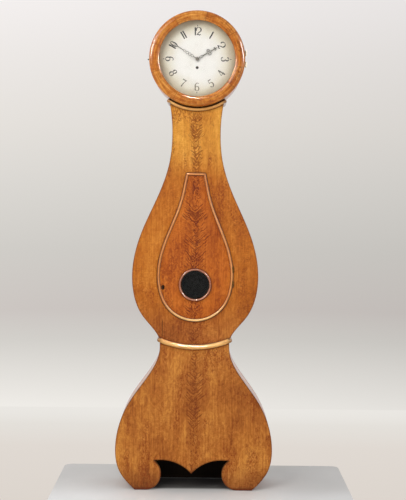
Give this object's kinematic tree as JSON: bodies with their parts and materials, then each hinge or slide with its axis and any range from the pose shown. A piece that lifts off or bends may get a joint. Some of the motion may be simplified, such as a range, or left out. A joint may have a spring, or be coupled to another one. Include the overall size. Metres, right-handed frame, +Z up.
{
  "type": "long-case clock",
  "caption": "Pear-waisted long-case clock on a scroll-foot plinth, with a round sliding hood, hinged bezel and door, weight-driven movement and seconds pendulum.",
  "frame": {"origin": "on the floor, under the middle of the clock's overall box", "axes": "+Z up, -Y the way the dial faces, +X to the right of someone facing the dial"},
  "size_m": [0.6716, 0.238, 2.05],
  "materials": {
    "veneer": "French-polished flame birch veneer, satin to gloss",
    "door_veneer": "French-polished flame birch veneer, redder",
    "moulding": "polished solid birch",
    "ring_wood": "turned and polished birch, pinkish brown",
    "pine": "planed pine, unfinished",
    "glass": "thin blown sheet glass",
    "putty": "hardened linseed putty",
    "brass": "dull lacquered brass",
    "iron": "blackened iron",
    "steel": "polished steel",
    "hand_iron": "blued and blackened iron",
    "dial_paint": "cream oil paint on iron sheet",
    "gut": "twisted gut line"
  },
  "bodies": {
    "case": {"plinth_front": "veneer", "plinth_side_left": "veneer", "plinth_side_right": "veneer", "plinth_back": "pine", "waist_front": "veneer", "waist_side_left": "veneer", "waist_side_right": "veneer", "waist_back": "pine", "hood_back": "pine", "glue_blocks": "pine", "waist_collar": "moulding", "neck_collar": "moulding", "door_hinge_case_leaves": "brass", "seat_cheeks": "pine", "hood_rails": "pine", "seat_board": "pine", "movement_front_plate": "brass", "movement_back_plate": "brass", "plate_pillars": "brass", "dial_plate": "dial_paint", "dial_posts": "iron", "back_cock": "brass", "gut_line": "gut"},
    "door": {"door_panel": "door_veneer", "door_bead": "moulding", "porthole_ring": "ring_wood", "porthole_glass": "glass", "porthole_retainer": "pine", "lock_escutcheon": "brass", "lock_case": "iron", "door_hinge_door_leaves": "brass"},
    "bolt": {"lock_bolt": "iron"},
    "hood": {"hood_drum": "veneer", "hood_ring": "veneer", "hood_runners": "pine", "bezel_hinge_hood_leaves": "brass"},
    "bezel": {"bezel_ring": "moulding", "bezel_glass": "glass", "bezel_putty": "putty", "bezel_pull": "iron", "bezel_hinge_bezel_leaves": "brass"},
    "barrel": {"barrel": "brass"},
    "great": {"great_wheel": "brass"},
    "pawl": {"click": "iron"},
    "centre": {"centre_wheel": "brass"},
    "third": {"third_wheel": "brass"},
    "escape": {"escape_wheel": "brass"},
    "anchor": {"anchor": "steel", "crutch": "steel"},
    "pendulum": {"suspension_spring": "steel", "pendulum_rod": "steel", "pendulum_bob": "brass", "rating_nut": "brass"},
    "minute": {"cannon_pinion": "brass", "minute_hand": "hand_iron", "hand_nut": "hand_iron"},
    "minute_work": {"minute_wheel": "brass"},
    "hour": {"hour_wheel": "brass", "hour_hand": "hand_iron"},
    "weight": {"weight": "iron"}
  },
  "joints": [
    {"name": "door_hinge", "type": "hinge", "parent": "case", "child": "door", "pos_m": [0.16235, -0.0835, 0.914], "axis": [0, 0, 1], "range_deg": [0, 105]},
    {"name": "lock_bolt_slide", "type": "slide", "parent": "door", "child": "bolt", "axis": [-1, 0, 0], "range_m": [0, 0.008]},
    {"name": "hood_slide", "type": "slide", "parent": "case", "child": "hood", "axis": [0, -1, 0], "range_m": [0, 0.25]},
    {"name": "bezel_hinge", "type": "hinge", "parent": "hood", "child": "bezel", "pos_m": [0.2078, -0.0948, 1.845], "axis": [0, 0, 1], "range_deg": [0, 115]},
    {"name": "hands_turn", "type": "hinge", "parent": "case", "child": "minute", "pos_m": [0, -0.08, 1.845], "axis": [0, 1, 0], "continuous": true},
    {"name": "minute_wheel_turn", "type": "hinge", "parent": "case", "child": "minute_work", "pos_m": [-0.021, -0.065, 1.845], "axis": [0, 1, 0], "continuous": true},
    {"name": "hour_turn", "type": "hinge", "parent": "case", "child": "hour", "pos_m": [0, -0.075, 1.845], "axis": [0, 1, 0], "continuous": true},
    {"name": "escape_turn", "type": "hinge", "parent": "case", "child": "escape", "pos_m": [0, -0.02, 1.874], "axis": [0, 1, 0], "continuous": true},
    {"name": "third_turn", "type": "hinge", "parent": "case", "child": "third", "pos_m": [0.01973, -0.02, 1.8607], "axis": [0, 1, 0], "continuous": true},
    {"name": "centre_turn", "type": "hinge", "parent": "case", "child": "centre", "pos_m": [0, -0.02, 1.845], "axis": [0, 1, 0], "continuous": true},
    {"name": "great_turn", "type": "hinge", "parent": "case", "child": "great", "pos_m": [0, -0.012, 1.8086], "axis": [0, 1, 0], "continuous": true},
    {"name": "click_lift", "type": "hinge", "parent": "great", "child": "pawl", "pos_m": [0.011, -0.0143, 1.82765], "axis": [0, 1, 0], "range_deg": [0, 12], "stiffness_Nm_per_rad": 0.02, "springref_deg": -5.73},
    {"name": "weight_run", "type": "slide", "parent": "case", "child": "weight", "axis": [0, 0, 1], "range_m": [-1.15, 0.12], "deforming": ["gut_line"]},
    {"name": "barrel_turn", "type": "hinge", "parent": "case", "child": "barrel", "pos_m": [0, -0.029, 1.8086], "axis": [0, 1, 0], "range_deg": [-340, 3200]},
    {"name": "pendulum_swing", "type": "hinge", "parent": "case", "child": "pendulum", "pos_m": [0, 0.045, 1.905], "axis": [0, 1, 0], "range_deg": [-3, 3]},
    {"name": "anchor_rock", "type": "hinge", "parent": "case", "child": "anchor", "pos_m": [0, 0, 1.905], "axis": [0, 1, 0], "range_deg": [-3, 3]}
  ],
  "couplings": [
    {"joint": "minute_wheel_turn", "follows": "hands_turn", "ratio": -0.33333},
    {"joint": "hour_turn", "follows": "hands_turn", "ratio": 0.083333},
    {"joint": "third_turn", "follows": "escape_turn", "ratio": -0.13333},
    {"joint": "centre_turn", "follows": "escape_turn", "ratio": 0.016667},
    {"joint": "great_turn", "follows": "escape_turn", "ratio": -0.0013889},
    {"joint": "barrel_turn", "follows": "weight_run", "rad_per_m": -47.506},
    {"joint": "anchor_rock", "follows": "pendulum_swing", "ratio": 1}
  ]
}
